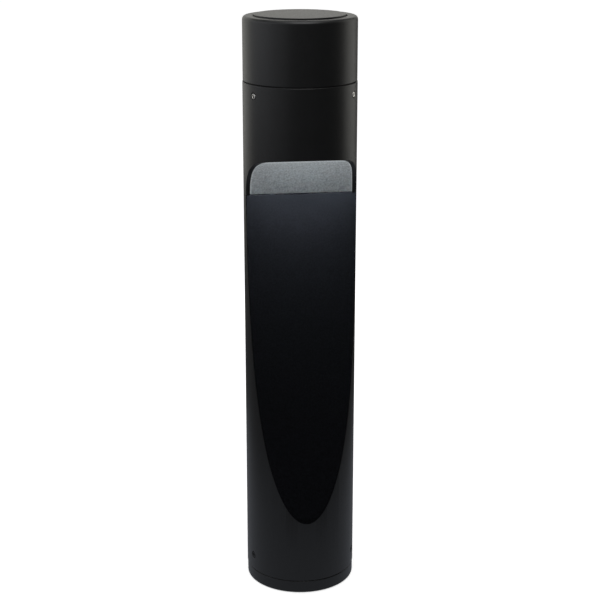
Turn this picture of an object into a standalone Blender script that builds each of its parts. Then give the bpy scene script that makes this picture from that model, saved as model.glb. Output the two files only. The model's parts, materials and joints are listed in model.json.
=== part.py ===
"""Bollard light: a round post with a scooped reflector, a hooded downlight and a screwed-on cap.

Metres, +Z up. The scoop faces -Y, and the origin is the centre of the foot's underside.
An azimuth is in degrees about Z from the front, positive towards +X.
"""

import math

import bmesh
import bpy
from mathutils import Matrix, Vector

# Post
HEIGHT = 1.0668
TUBE_RADIUS = 0.1016
TUBE_WALL = 0.007
GAP = 0.0003  # left between pieces that touch
ROUND_SIDES = 48
EDGE_CHAMFER = 0.001

# Seams: each holds a gasket set in from the surface
UPPER_SEAM_Z = 0.952
LOWER_SEAM_Z = 0.0245
GASKET_THICKNESS = 0.001
GASKET_INSET = 0.0012

# Scoop, as seen from the side
CEILING_Z = 0.827  # height of the hood's front edge
CEILING_SLOPE = math.radians(12.5)
CEILING_FILLET = 0.065
SCOOP_DEPTH = 0.081
FOLD_Z = 0.752
TIP_Z = 0.149
PANEL_BULGE = 0.016  # how far the panel's arc stands behind its chord
PANEL_THICKNESS = 0.002
FILLET_STEPS = 8
PANEL_STEPS = 20

# Cap and foot
CAP_RADIUS = 0.101
CAP_EDGE_RADIUS = 0.006
CAP_RIM_DROP = 0.0025  # rim below the disc
CAP_WALL = 0.006
SPIGOT_RADIUS = 0.0942  # what slides into the tube, at both ends
SPIGOT_WALL = 0.006
CAP_SKIRT_Z = 0.903
DISC_RADIUS = 0.081
DISC_THICKNESS = 0.007
DISC_GROOVE = 0.0015
SEAL_THICKNESS = 0.002
FOOT_RADIUS = 0.1009
FOOT_EDGE_RADIUS = 0.004
FOOT_FLOOR = 0.012
FOOT_SPIGOT_Z = 0.085
ENTRY_RADIUS = 0.030
ANCHOR_CIRCLE_RADIUS = 0.060
ANCHOR_HOLE_RADIUS = 0.007
ENTRY_BORE = 0.012
TERMINAL_SIZE = (0.050, 0.018, 0.024)
TERMINAL_Y = 0.060
WIRE_ENTRY_RADIUS = 0.003
WIRE_ENTRY_DEPTH = 0.007
GROMMET_FLANGE = 0.005
GROMMET_THICKNESS = 0.004
LUG_SIZE = (0.022, 0.010, 0.0015)
GROUND_X = -0.062

# Machine screws inside, by shank radius
M3 = 0.0015
M4 = 0.0020
M5 = 0.0025
DISC_SCREW_CIRCLE = 0.050
DISC_THREAD = 0.004

# Socket screws through the tube, M6
SOCKET_HEAD_RADIUS = 0.005
SOCKET_HEAD_HEIGHT = 0.004
SOCKET_SHANK_RADIUS = 0.003
SOCKET_LENGTH = 0.018
SOCKET_RADIUS = 0.0029  # of the hexagon's corners
SOCKET_DEPTH = 0.0025
COUNTERBORE_RADIUS = 0.0064
COUNTERBORE_DEPTH = 0.0045
CAP_SCREW_Z = 0.932
CAP_SCREW_AZIMUTHS = {"left": -60, "right": 60, "rear": 180}
BASE_SCREW_Z = 0.0545
BASE_SCREW_AZIMUTHS = {"left": -68, "right": 68, "rear": 180}

# Lens stack: distances behind the scoop's surface
LENS_RECESS = 0.0008
LENS_THICKNESS = 0.004
LENS_GASKET_THICKNESS = 0.0015
LENS_FRAME_THICKNESS = 0.002
LENS_RADIUS = 0.0936
WINDOW_RADIUS = 0.085
WINDOW_SILL = 0.004

# Light engine, in its own frame: +Z away from the ceiling, +Y towards the back
ENGINE_DEPTH = 0.044  # behind the tube's front
EMITTER_X = 0.022
EMITTER_Y = 0.009
SINK_SCREW_X = 0.045
BOARD_SIZE = (0.104, 0.036, 0.0016)
BOARD_Z = 0.0148
PAD_THICKNESS = 0.0008
SINK_WIDTH = 0.108
SINK_LENGTH = 0.058
SINK_BASE = 0.005
SINK_HEIGHT = 0.029
FIN_COUNT = 9
FIN_THICKNESS = 0.0022
END_FIN_THICKNESS = 0.005

# Gear in the head
GEAR_PLATE_RADIUS = 0.0935
GEAR_PLATE_THICKNESS = 0.003
GEAR_PLATE_TOP = CAP_SKIRT_Z - GAP
DRIVER_SIZE = (0.120, 0.044, 0.030)
DRIVER_EAR = 0.008
DRIVER_Y = 0.004
SURGE_Y = -0.048
GEAR_SCREW_X = 0.0906
GEAR_SCREW_DEPTH = 0.008
EAR_THICKNESS = 0.0025
SURGE_SIZE = (0.044, 0.024, 0.020)
HANGER_WIDTH = 0.020
HANGER_THICKNESS = 0.002
HANGER_FLANGE = 0.018
HANGER_Y = -0.035
HANGER_FOOT_Z = 0.836
HANGER_SCREW_Z = 0.844
SUPPLY_HOLE = (0.0, 0.060)
LED_HOLE = (0.072, 0.012)

# Panel fixing
RAIL_HEIGHTS = {"upper": 0.600, "lower": 0.300}
RAIL_SIZE = (0.25, 0.004, 0.025)
RAIL_STANDOFF = 0.006
STUD_X = 0.045
STUD_RADIUS = 0.0025
STUD_TAIL = 0.010  # length behind the rail

# Wiring
SUPPLY_LEAD_RADIUS = 0.004
LED_LEAD_RADIUS = 0.0015
LEAD_WALL_Y = 0.0845
CLIP_SIZE = (0.014, 0.0156, 0.010)
CLIP_Z = 0.520

SCOOP_BACK_Y = SCOOP_DEPTH - TUBE_RADIUS
BORE_RADIUS = TUBE_RADIUS - TUBE_WALL
CAP_TOP = HEIGHT - CAP_RIM_DROP
RECESS_FLOOR = HEIGHT - DISC_THICKNESS - GAP
OUTSIDE = 0.03  # how far a cutter stands outside the tube


# Scene and materials


def clear_scene():
    for obj in list(bpy.data.objects):
        bpy.data.objects.remove(obj)


def new_collection(name):
    collection = bpy.data.collections.new(name)
    bpy.context.scene.collection.children.link(collection)
    return collection


def material(name, color, roughness, metallic=0.0):
    made = bpy.data.materials.new(name)
    made.use_nodes = True
    shader = made.node_tree.nodes["Principled BSDF"]
    shader.inputs["Base Color"].default_value = (*color, 1.0)
    shader.inputs["Roughness"].default_value = roughness
    shader.inputs["Metallic"].default_value = metallic
    return made


clear_scene()
PARTS = new_collection("bollard_light")
CUTTERS = new_collection("cutters")

BLACK_COAT = material("black_powder_coat", (0.012, 0.012, 0.013), 0.45)
PANEL_BLACK = material("panel_black", (0.008, 0.008, 0.010), 0.35)
FROSTED = material("frosted_lens", (0.42, 0.45, 0.46), 0.35)
STEEL = material("stainless_steel", (0.55, 0.54, 0.52), 0.28, 1.0)
BLACK_STEEL = material("black_oxide_steel", (0.010, 0.010, 0.010), 0.40, 1.0)
ZINC = material("zinc_plate", (0.42, 0.43, 0.44), 0.40, 1.0)
ALUMINIUM = material("bare_aluminium", (0.60, 0.61, 0.62), 0.40, 1.0)
RUBBER = material("black_rubber", (0.010, 0.010, 0.010), 0.80)
SILICONE = material("grey_silicone", (0.20, 0.21, 0.22), 0.70)
BOARD_WHITE = material("white_solder_mask", (0.70, 0.71, 0.70), 0.50)
EMITTER_YELLOW = material("emitter_phosphor", (0.80, 0.62, 0.16), 0.40)
GREY_PLASTIC = material("grey_plastic", (0.18, 0.19, 0.20), 0.50)
WHITE_PLASTIC = material("white_plastic", (0.62, 0.62, 0.60), 0.45)
COPPER = material("tinned_copper", (0.52, 0.46, 0.40), 0.35, 1.0)


# Shapes


def add(name, data, mat, location=(0, 0, 0), rotation=(0, 0, 0), parent=None):
    """A part, or a cutter when it has no material."""
    obj = bpy.data.objects.new(name, data)
    if mat:
        PARTS.objects.link(obj)
        data.materials.clear()
        data.materials.append(mat)
    else:
        CUTTERS.objects.link(obj)
        obj.hide_render = True
        obj.display_type = "WIRE"
    obj.parent = parent
    obj.location = location
    obj.rotation_euler = rotation
    return obj


def smooth(mesh, angle=35):
    mesh.shade_smooth()
    mesh.set_sharp_from_angle(angle=math.radians(angle))


def mesh_of(obj):
    """The evaluated mesh of a curve or of an object with modifiers, which is then removed."""
    bpy.context.view_layer.update()
    evaluated = obj.evaluated_get(bpy.context.evaluated_depsgraph_get())
    mesh = bpy.data.meshes.new_from_object(evaluated)
    mesh.name = obj.name
    bpy.data.objects.remove(obj)
    welded = bmesh.new()
    welded.from_mesh(mesh)
    bmesh.ops.remove_doubles(welded, verts=welded.verts, dist=1e-6)
    bmesh.ops.recalc_face_normals(welded, faces=welded.faces)
    welded.to_mesh(mesh)
    welded.free()
    return mesh


def turned(name, profile, mat, sides=ROUND_SIDES, ring=True, **place):
    """A profile of (radius, z) turned about Z.

    It runs down the outer side, and a ring's comes back up inside.
    """
    mesh = bpy.data.meshes.new(name)
    last = len(profile) if ring else len(profile) - 1
    edges = [(i, (i + 1) % len(profile)) for i in range(last)]
    mesh.from_pydata([(radius, 0, z) for radius, z in profile], edges, [])
    obj = add(name, mesh, mat, **place)
    screw = obj.modifiers.new("turn", "SCREW")
    screw.steps = screw.render_steps = sides
    screw.use_merge_vertices = True
    screw.merge_threshold = 1e-6
    return obj


def cylinder(name, radius, bottom, top, mat=None, sides=16, **place):
    shape = bmesh.new()
    middle = Matrix.Translation((0, 0, (bottom + top) / 2))
    bmesh.ops.create_cone(
        shape,
        cap_ends=True,
        segments=sides,
        radius1=radius,
        radius2=radius,
        depth=top - bottom,
        matrix=middle,
    )
    mesh = bpy.data.meshes.new(name)
    shape.to_mesh(mesh)
    shape.free()
    smooth(mesh)
    return add(name, mesh, mat, **place)


def box(name, size, mat=None, bevel=0.0, **place):
    shape = bmesh.new()
    bmesh.ops.create_cube(shape, size=1.0, matrix=Matrix.Diagonal((*size, 1.0)))
    mesh = bpy.data.meshes.new(name)
    shape.to_mesh(mesh)
    shape.free()
    obj = add(name, mesh, mat, **place)
    if bevel:
        edges = obj.modifiers.new("edges", "BEVEL")
        edges.width = bevel
        edges.segments = 2
    return obj


def post_trim(name, radius):
    """A cutter over the post's whole height, which leaves a piece its part inside that radius."""
    return cylinder(name, radius, 0.0, HEIGHT, sides=ROUND_SIDES)


def extruded(name, outline, width, mat=None, **place):
    """A flat outline in local XY, extruded equally both ways along Z."""
    curve = bpy.data.curves.new(name, "CURVE")
    curve.dimensions = "2D"
    curve.fill_mode = "BOTH"
    curve.extrude = width / 2
    spline = curve.splines.new("POLY")
    spline.points.add(len(outline) - 1)
    for point, (x, y) in zip(spline.points, outline):
        point.co = (x, y, 0, 1)
    spline.use_cyclic_u = True
    guide = bpy.data.objects.new(name, curve)
    CUTTERS.objects.link(guide)
    mesh = mesh_of(guide)
    smooth(mesh, 25)
    return add(name, mesh, mat, **place)


def across(name, outline, mat=None, width=0.24):
    """A side-view outline of (y, z) points, extruded along X."""
    return extruded(name, outline, width, mat, rotation=(math.pi / 2, 0, math.pi / 2))


def cut(obj, *cutters, operation="DIFFERENCE"):
    for cutter in cutters:
        modifier = obj.modifiers.new(cutter.name, "BOOLEAN")
        modifier.operation = operation
        modifier.object = cutter


def hole(obj, name, radius, bottom, top, at=(0, 0), sides=12, **place):
    """A round hole along local Z through obj."""
    place.setdefault("location", (*at, 0))
    cut(obj, cylinder(name, radius, bottom, top, sides=sides, **place))


def around(azimuth, radius, z):
    """Location and rotation of a piece whose local +Z points straight out of the post."""
    angle = math.radians(azimuth)
    location = (radius * math.sin(angle), -radius * math.cos(angle), z)
    return {"location": location, "rotation": (math.pi / 2, 0, angle)}


def arc(center, radius, start, end, steps):
    angles = [start + (end - start) * i / steps for i in range(steps + 1)]
    return [(center[0] + radius * math.cos(a), center[1] + radius * math.sin(a)) for a in angles]


# Scoop outlines in the side view, as (y, z). An offset is a distance behind the scoop's surface.


def ceiling_z(y, offset=0.0):
    depth = y + TUBE_RADIUS
    return CEILING_Z - depth * math.tan(CEILING_SLOPE) + offset / math.cos(CEILING_SLOPE)


def hood_line(offset, front_y, bottom_z):
    """From the front along the ceiling, round the fillet and down the lens to bottom_z."""
    center_y = SCOOP_BACK_Y - CEILING_FILLET
    center_z = ceiling_z(center_y) - CEILING_FILLET / math.cos(CEILING_SLOPE)
    start = math.pi / 2 - CEILING_SLOPE
    fillet = arc((center_y, center_z), CEILING_FILLET + offset, start, 0.0, FILLET_STEPS)
    return [(front_y, ceiling_z(front_y, offset)), *fillet, (SCOOP_BACK_Y + offset, bottom_z)]


def panel_circle():
    """Centre and radius of the panel's front, and the angles of its fold and its tip."""
    across_y = SCOOP_BACK_Y + TUBE_RADIUS
    up_z = FOLD_Z - TIP_Z
    chord = math.hypot(across_y, up_z)
    radius = (chord**2 / 4 + PANEL_BULGE**2) / (2 * PANEL_BULGE)
    reach = (radius - PANEL_BULGE) / chord
    center_y = (SCOOP_BACK_Y - TUBE_RADIUS) / 2 - up_z * reach
    center_z = (FOLD_Z + TIP_Z) / 2 + across_y * reach
    fold = math.atan2(FOLD_Z - center_z, SCOOP_BACK_Y - center_y)
    tip = math.atan2(TIP_Z - center_z, -TUBE_RADIUS - center_y)
    return (center_y, center_z), radius, fold, tip


def panel_line(offset, top_gap=0.0):
    """From the fold down past the tip, to outside the tube."""
    center, radius, fold, tip = panel_circle()
    start = fold - top_gap / radius
    beyond = tip - (fold - tip) / 10
    return arc(center, radius + offset, start, beyond, PANEL_STEPS)


def panel_back_y(z):
    """Where the panel's rear face is at height z."""
    center, radius, _, _ = panel_circle()
    return center[0] + math.sqrt((radius + PANEL_THICKNESS) ** 2 - (z - center[1]) ** 2)


def band(name, near, far, mat=None):
    """A sheet between two outlines of the scoop, running the same way."""
    return across(name, near + far[::-1], mat)


# Fasteners


def socket_screw_mesh():
    """An M6 socket screw: +Z out of the head, whose face is at z = 0."""
    edge = 0.0004
    profile = [
        (0, 0),
        (SOCKET_HEAD_RADIUS - edge, 0),
        (SOCKET_HEAD_RADIUS, -edge),
        (SOCKET_HEAD_RADIUS, -SOCKET_HEAD_HEIGHT),
        (SOCKET_SHANK_RADIUS, -SOCKET_HEAD_HEIGHT),
        (SOCKET_SHANK_RADIUS, -SOCKET_LENGTH),
        (0, -SOCKET_LENGTH),
    ]
    screw = turned("socket_screw", profile, STEEL, sides=16, ring=False)
    cut(screw, cylinder("hex_socket", SOCKET_RADIUS, -SOCKET_DEPTH, 0.002, sides=6))
    mesh = mesh_of(screw)
    smooth(mesh)
    return mesh


def small_screw_mesh(shank_radius, length):
    """A pan-head machine screw: the head rests on z = 0 and the shank runs down."""
    head_radius = 1.9 * shank_radius
    head_height = 1.1 * shank_radius
    profile = [
        (0, head_height),
        (0.7 * head_radius, head_height),
        (head_radius, 0.5 * head_height),
        (head_radius, 0),
        (shank_radius, 0),
        (shank_radius, -length),
        (0, -length),
    ]
    mesh = mesh_of(turned("small_screw", profile, ZINC, sides=12, ring=False))
    smooth(mesh)
    return mesh


def wall_hole_cutter():
    """The stepped hole through the tube's wall: z = 0 is the tube's surface."""
    profile = [
        (0, OUTSIDE),
        (COUNTERBORE_RADIUS, OUTSIDE),
        (COUNTERBORE_RADIUS, -COUNTERBORE_DEPTH),
        (SOCKET_SHANK_RADIUS + 2 * GAP, -COUNTERBORE_DEPTH),
        (SOCKET_SHANK_RADIUS + 2 * GAP, -TUBE_WALL - 0.004),
        (0, -TUBE_WALL - 0.004),
    ]
    return mesh_of(turned("wall_hole", profile, None, sides=24, ring=False))


def socket_screws(prefix, azimuths, z, tube, inner, mat):
    """Screws round the tube that hold the piece inside it."""
    head_face = TUBE_RADIUS - COUNTERBORE_DEPTH + GAP + SOCKET_HEAD_HEIGHT
    mesh = socket_screw_mesh()
    wall_hole = wall_hole_cutter()
    for side, azimuth in azimuths.items():
        name = f"{prefix}_screw_{side}"
        add(name, mesh, mat, **around(azimuth, head_face, z))
        cut(tube, add(f"{name}_wall_hole", wall_hole, None, **around(azimuth, TUBE_RADIUS, z)))
        tapped = around(azimuth, SPIGOT_RADIUS, z)
        thread = cylinder(f"{name}_thread", SOCKET_SHANK_RADIUS + GAP, -0.012, 0.004, sides=16, **tapped)
        cut(inner, thread)


# Body


def body_tube():
    top = UPPER_SEAM_Z - GASKET_THICKNESS / 2 - GAP
    bottom = LOWER_SEAM_Z + GASKET_THICKNESS / 2 + GAP
    chamfered = TUBE_RADIUS - EDGE_CHAMFER
    profile = [
        (chamfered, top),
        (TUBE_RADIUS, top - EDGE_CHAMFER),
        (TUBE_RADIUS, bottom + EDGE_CHAMFER),
        (chamfered, bottom),
        (BORE_RADIUS, bottom),
        (BORE_RADIUS, top),
    ]
    tube = turned("body_tube", profile, BLACK_COAT)
    front = -TUBE_RADIUS - OUTSIDE
    seat = panel_line(PANEL_THICKNESS + GAP)
    outline = hood_line(0.0, front, FOLD_Z) + seat + [(front, seat[-1][1])]
    cut(tube, across("scoop", outline))
    return tube


def reflector_panel():
    near = panel_line(0.0, top_gap=GAP)
    far = panel_line(PANEL_THICKNESS, top_gap=GAP)
    panel = band("reflector_panel", near, far, PANEL_BLACK)
    trim = post_trim("panel_trim", TUBE_RADIUS - GAP)
    cut(panel, trim, operation="INTERSECT")


def panel_rails():
    stud_number = 0
    for place, z in RAIL_HEIGHTS.items():
        _, thickness, height = RAIL_SIZE
        front = panel_back_y(z + height / 2) + RAIL_STANDOFF
        name = f"panel_rail_{place}"
        rail = box(name, RAIL_SIZE, ALUMINIUM, location=(0, front + thickness / 2, z))
        trim = post_trim(f"{name}_trim", BORE_RADIUS - 2 * GAP)
        cut(rail, trim, operation="INTERSECT")
        for x in (-STUD_X, STUD_X):
            stud_number += 1
            start = panel_back_y(z + STUD_RADIUS) + GAP
            panel_stud(stud_number, rail, x, start, front, z)


def panel_stud(number, rail, x, start, rail_front, z):
    backwards = (-math.pi / 2, 0, 0)
    rail_back = rail_front + RAIL_SIZE[1]
    length = rail_back + STUD_TAIL - start
    place = {"location": (x, start, z), "rotation": backwards}
    cylinder(f"panel_stud_{number}", STUD_RADIUS, 0, length, ZINC, sides=12, **place)
    cut(rail, cylinder(f"stud_hole_{number}", STUD_RADIUS + 2 * GAP, 0, length, sides=16, **place))
    corner_radius = 0.0046
    nut_height = 0.004
    bore = (STUD_RADIUS + GAP) / math.cos(math.pi / 6) + GAP
    profile = [(corner_radius, nut_height), (corner_radius, 0), (bore, 0), (bore, nut_height)]
    behind = (x, rail_back + GAP, z)
    turned(f"panel_nut_{number}", profile, ZINC, sides=6, location=behind, rotation=backwards)


# Lens


def lens_stack():
    start = LENS_RECESS
    layers = (
        ("lens", LENS_THICKNESS, FROSTED),
        ("lens_gasket", LENS_GASKET_THICKNESS, SILICONE),
        ("lens_frame", LENS_FRAME_THICKNESS, ALUMINIUM),
    )
    trim = post_trim("lens_trim", LENS_RADIUS)
    for name, thickness, mat in layers:
        layer = hood_band(name, start, start + thickness, FOLD_Z + GAP, mat)
        cut(layer, trim, operation="INTERSECT")
        if name != "lens":
            cut(layer, window_cutter(name))
        start += thickness + GAP


def hood_band(name, near, far, bottom_z, mat=None):
    front = -TUBE_RADIUS - OUTSIDE
    return band(name, hood_line(near, front, bottom_z), hood_line(far, front, bottom_z), mat)


def window_cutter(name):
    """What leaves a gasket or a frame only its border."""
    window = hood_band(f"{name}_window", -0.004, 0.020, FOLD_Z + WINDOW_SILL)
    inside = post_trim(f"{name}_window_trim", WINDOW_RADIUS)
    cut(window, inside, operation="INTERSECT")
    return window


# Light engine


def comb(width, base, height, count, fin, end_fin):
    """A heat sink's outline: a base with fins standing on it, the outer two thicker."""
    pitch = (width - end_fin) / (count - 1)
    outline = [(-width / 2, 0), (width / 2, 0)]
    for i in reversed(range(count)):
        middle = (i - (count - 1) / 2) * pitch
        half = (end_fin if i in (0, count - 1) else fin) / 2
        if i < count - 1:
            outline.append((middle + half, base))
        outline += [(middle + half, height), (middle - half, height)]
        if i > 0:
            outline.append((middle - half, base))
    return outline


def light_engine():
    y = ENGINE_DEPTH - TUBE_RADIUS
    engine = bpy.data.objects.new("light_engine", None)
    PARTS.objects.link(engine)
    engine.location = (0, y, ceiling_z(y))
    engine.rotation_euler = (-CEILING_SLOPE, 0, 0)

    board = box("led_board", BOARD_SIZE, BOARD_WHITE, location=(0, 0, BOARD_Z), parent=engine)
    length, width, thickness = BOARD_SIZE
    underside = BOARD_Z - thickness / 2
    pad_z = BOARD_Z + thickness / 2 + GAP + PAD_THICKNESS / 2
    pad_size = (length, width, PAD_THICKNESS)
    pad = box("thermal_pad", pad_size, SILICONE, location=(0, 0, pad_z), parent=engine)
    sink_z = pad_z + PAD_THICKNESS / 2 + GAP
    sink = heat_sink(engine, (SINK_LENGTH - width) / 2, sink_z)
    emitters(engine, underside - GAP)
    upside_down = (math.pi, 0, 0)
    screw = small_screw_mesh(M3, sink_z + SINK_BASE - underside)
    for side, sign in (("left", -1), ("right", 1)):
        x = sign * SINK_SCREW_X
        place = {"location": (x, 0, underside - GAP), "rotation": upside_down, "parent": engine}
        add(f"heat_sink_screw_{side}", screw, ZINC, **place)
        for piece in (board, pad, sink):
            name = f"{piece.name}_hole_{side}"
            hole(piece, name, M3 + GAP, underside - 0.001, sink_z + SINK_BASE, (x, 0), parent=engine)
    return sink


def heat_sink(engine, y, z):
    outline = comb(SINK_WIDTH, SINK_BASE, SINK_HEIGHT, FIN_COUNT, FIN_THICKNESS, END_FIN_THICKNESS)
    place = {"location": (0, y, z), "rotation": (math.pi / 2, 0, 0), "parent": engine}
    return extruded("heat_sink", outline, SINK_LENGTH, ALUMINIUM, **place)


def emitters(engine, z):
    """Domed emitters in two rows of two, facing down."""
    radius, foot, dome = 0.0045, 0.0008, 0.0022
    angles = [math.pi / 2 * i / 4 for i in range(5)]
    curve = [(0.9 * radius * math.sin(a), foot + dome * math.cos(a)) for a in angles]
    profile = [*curve, (radius, foot), (radius, 0), (0, 0)]
    number = 0
    for x in (-EMITTER_X, EMITTER_X):
        for y in (-EMITTER_Y, EMITTER_Y):
            number += 1
            name = f"led_emitter_{number}"
            place = {"location": (x, y, z), "rotation": (math.pi, 0, 0), "parent": engine}
            turned(name, profile, EMITTER_YELLOW, sides=12, ring=False, **place)


def hangers(sink, plate):
    """Straps from the gear plate down to the heat sink's sides."""
    inside = SINK_WIDTH / 2 + GAP
    outside = inside + HANGER_THICKNESS
    flange_top = GEAR_PLATE_TOP - GEAR_PLATE_THICKNESS - GAP
    flange_under = flange_top - HANGER_THICKNESS
    flange_end = inside + HANGER_FLANGE
    screw_x = outside + HANGER_FLANGE / 2
    up_screw = small_screw_mesh(M3, HANGER_THICKNESS + GEAR_PLATE_THICKNESS)
    side_screw = small_screw_mesh(M3, HANGER_THICKNESS + END_FIN_THICKNESS - 0.0005)
    number = 0
    for side, sign in (("left", -1), ("right", 1)):
        corners = (
            (inside, HANGER_FOOT_Z),
            (outside, HANGER_FOOT_Z),
            (outside, flange_under),
            (flange_end, flange_under),
            (flange_end, flange_top),
            (inside, flange_top),
        )
        outline = [(sign * x, z) for x, z in corners]
        place = {"location": (0, HANGER_Y, 0), "rotation": (math.pi / 2, 0, 0)}
        strap = extruded(f"hanger_{side}", outline, HANGER_WIDTH, ZINC, **place)

        number += 1
        at = (sign * screw_x, HANGER_Y)
        upside_down = {"location": (*at, flange_under - GAP), "rotation": (math.pi, 0, 0)}
        add(f"hanger_screw_{number}", up_screw, ZINC, **upside_down)
        hole(strap, f"flange_hole_{side}", M3 + GAP, flange_under - 0.01, flange_top + 0.01, at)
        hole(plate, f"plate_hanger_hole_{side}", M3 + GAP, flange_top, GEAR_PLATE_TOP + 0.01, at)

        number += 1
        sideways = (0, sign * math.pi / 2, 0)
        seat = {"location": (sign * (outside + GAP), HANGER_Y, HANGER_SCREW_Z), "rotation": sideways}
        add(f"hanger_screw_{number}", side_screw, ZINC, **seat)
        for piece in (strap, sink):
            reach = HANGER_THICKNESS + END_FIN_THICKNESS + 0.002
            hole(piece, f"{piece.name}_side_hole_{side}", M3 + GAP, -reach, 0.002, sides=16, **seat)


# Head


def head_cap():
    """The cast cap with its skirt, and the disc let into its top."""
    bottom = UPPER_SEAM_Z + GASKET_THICKNESS / 2 + GAP
    corner = (CAP_RADIUS - CAP_EDGE_RADIUS, CAP_TOP - CAP_EDGE_RADIUS)
    recess = DISC_RADIUS + DISC_GROOVE
    skirt_inside = SPIGOT_RADIUS - SPIGOT_WALL
    inner_top = RECESS_FLOOR - CAP_WALL
    profile = [
        (0, RECESS_FLOOR),
        (recess, RECESS_FLOOR),
        (recess, CAP_TOP),
        *arc(corner, CAP_EDGE_RADIUS, math.pi / 2, 0, 3),
        (CAP_RADIUS, bottom + EDGE_CHAMFER),
        (CAP_RADIUS - EDGE_CHAMFER, bottom),
        (SPIGOT_RADIUS, bottom),
        (SPIGOT_RADIUS, CAP_SKIRT_Z),
        (skirt_inside, CAP_SKIRT_Z),
        (skirt_inside, inner_top - CAP_EDGE_RADIUS),
        (skirt_inside - CAP_EDGE_RADIUS, inner_top),
        (0, inner_top),
    ]
    cap = turned("head_cap", profile, BLACK_COAT, ring=False)
    gasket_ring("cap_gasket", UPPER_SEAM_Z, CAP_RADIUS)

    disc_bottom = HEIGHT - DISC_THICKNESS
    disc = turned(
        "cap_disc",
        [
            (0, HEIGHT),
            (DISC_RADIUS - EDGE_CHAMFER, HEIGHT),
            (DISC_RADIUS, HEIGHT - EDGE_CHAMFER),
            (DISC_RADIUS, disc_bottom),
            (0, disc_bottom),
        ],
        BLACK_COAT,
        ring=False,
    )
    seal_top = RECESS_FLOOR + SEAL_THICKNESS
    outer, inner = recess - GAP, DISC_RADIUS + GAP
    seal_bottom = RECESS_FLOOR + GAP
    seal = [(outer, seal_top), (outer, seal_bottom), (inner, seal_bottom), (inner, seal_top)]
    turned("cap_disc_seal", seal, RUBBER)

    screw = small_screw_mesh(M4, CAP_WALL + 2 * GAP + DISC_THREAD)
    for number, azimuth in enumerate((0, 120, 240), start=1):
        angle = math.radians(azimuth)
        at = (DISC_SCREW_CIRCLE * math.sin(angle), -DISC_SCREW_CIRCLE * math.cos(angle))
        place = {"location": (*at, inner_top - GAP), "rotation": (math.pi, 0, 0)}
        add(f"disc_screw_{number}", screw, ZINC, **place)
        hole(cap, f"cap_disc_hole_{number}", M4 + GAP, inner_top - 0.01, RECESS_FLOOR + 0.01, at)
        thread_end = disc_bottom + DISC_THREAD + 0.001
        hole(disc, f"disc_hole_{number}", M4 + GAP, disc_bottom - 0.01, thread_end, at)
    return cap


def gasket_ring(name, seam_z, radius):
    outer = radius - GASKET_INSET
    inner = SPIGOT_RADIUS + GAP
    top = seam_z + GASKET_THICKNESS / 2
    bottom = seam_z - GASKET_THICKNESS / 2
    turned(name, [(outer, top), (outer, bottom), (inner, bottom), (inner, top)], RUBBER)


def gear_plate(cap):
    """The plate across the skirt that carries the driver, and its screws."""
    bottom = GEAR_PLATE_TOP - GEAR_PLATE_THICKNESS
    plate = cylinder("gear_plate", GEAR_PLATE_RADIUS, bottom, GEAR_PLATE_TOP, ZINC, sides=ROUND_SIDES)
    supply_room = 2 * SUPPLY_LEAD_RADIUS
    hole(plate, "supply_hole", supply_room, bottom - 0.01, GEAR_PLATE_TOP + 0.01, SUPPLY_HOLE)
    hole(plate, "led_lead_hole", 0.005, bottom - 0.01, GEAR_PLATE_TOP + 0.01, LED_HOLE)
    screw = small_screw_mesh(M3, GEAR_PLATE_THICKNESS + GEAR_SCREW_DEPTH)
    for side, sign in (("left", -1), ("right", 1)):
        at = (sign * GEAR_SCREW_X, 0)
        place = {"location": (*at, bottom - GAP), "rotation": (math.pi, 0, 0)}
        add(f"gear_plate_screw_{side}", screw, ZINC, **place)
        for piece in (plate, cap):
            name = f"{piece.name}_hole_{side}"
            hole(piece, name, M3 + GAP, bottom - 0.01, CAP_SKIRT_Z + GEAR_SCREW_DEPTH + 0.002, at)
    return plate


def driver(plate):
    length, width, height = DRIVER_SIZE
    bottom = GEAR_PLATE_TOP + GAP
    ear_top = bottom + EAR_THICKNESS
    body, ear, edge = length / 2, length / 2 + DRIVER_EAR, 0.002
    top = bottom + height
    right = [(ear, bottom), (ear, ear_top), (body, ear_top), (body, top - edge), (body - edge, top)]
    left = [(-x, z) for x, z in reversed(right)]
    place = {"location": (0, DRIVER_Y, 0), "rotation": (math.pi / 2, 0, 0)}
    case = extruded("led_driver", right + left, width, WHITE_PLASTIC, **place)
    screw = small_screw_mesh(M3, ear_top - bottom + GEAR_PLATE_THICKNESS)
    for side, sign in (("left", -1), ("right", 1)):
        at = (sign * (body + DRIVER_EAR / 2), DRIVER_Y)
        add(f"driver_screw_{side}", screw, ZINC, location=(*at, ear_top + GAP))
        for piece in (case, plate):
            name = f"{piece.name}_ear_hole_{side}"
            hole(piece, name, M3 + GAP, bottom - 0.01, ear_top + 0.01, at)
    above = bottom + SURGE_SIZE[2] / 2
    box("surge_protector", SURGE_SIZE, GREY_PLASTIC, bevel=0.0015, location=(0, SURGE_Y, above))


# Foot


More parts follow.
